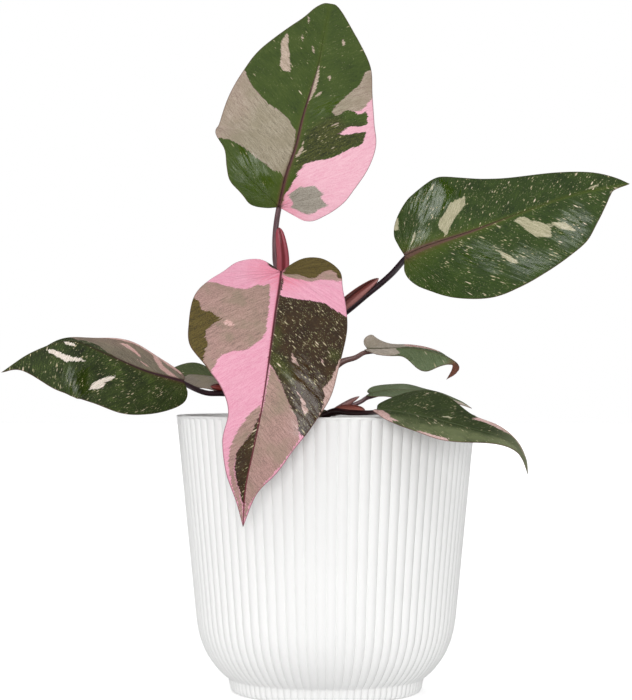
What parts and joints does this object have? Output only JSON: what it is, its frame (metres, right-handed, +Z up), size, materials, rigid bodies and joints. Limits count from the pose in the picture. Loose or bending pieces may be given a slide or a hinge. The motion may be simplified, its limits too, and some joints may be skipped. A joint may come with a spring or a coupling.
{
  "type": "pink princess philodendron in a white ribbed pot",
  "caption": "Young pink princess philodendron with heart-shaped leaves marked in pink, taupe and dark green, growing in a round white ribbed pot.",
  "frame": {"origin": "centre of the pot's underside, on the surface that the pot stands on", "axes": "+Z up along the pot's axis, -Y towards the front, where the largest pink leaf hangs over the rim, +X to the right as seen from the front"},
  "size_m": [0.286, 0.162, 0.3312],
  "materials": {
    "pot": "satin white moulded plastic",
    "soil": "damp, crumbly potting soil",
    "stem": "fleshy stem, slightly ribbed",
    "petiole": "smooth dark purple leaf stalk",
    "blade": "waxy leaf in dark green, taupe and pink",
    "sheath": "smooth red leaf sheath"
  },
  "bodies": {
    "root": {"pot": "pot", "soil": "soil", "main_stem": "stem", "side_shoot": "stem", "leaf_top": "blade", "leaf_right": "blade", "leaf_front": "blade", "leaf_left": "blade", "leaf_back_left": "blade", "leaf_upper_right": "blade", "leaf_lower_right": "blade", "leaf_rear_right": "blade", "petiole_top": "petiole", "petiole_right": "petiole", "petiole_front": "petiole", "petiole_left": "petiole", "petiole_back_left": "petiole", "petiole_upper_right": "petiole", "petiole_lower_right": "petiole", "petiole_rear_right": "petiole", "sheath_top": "sheath", "sheath_right": "sheath", "sheath_left": "sheath", "sheath_lower_right": "sheath", "sheath_rear_right": "sheath"}
  },
  "joints": []
}
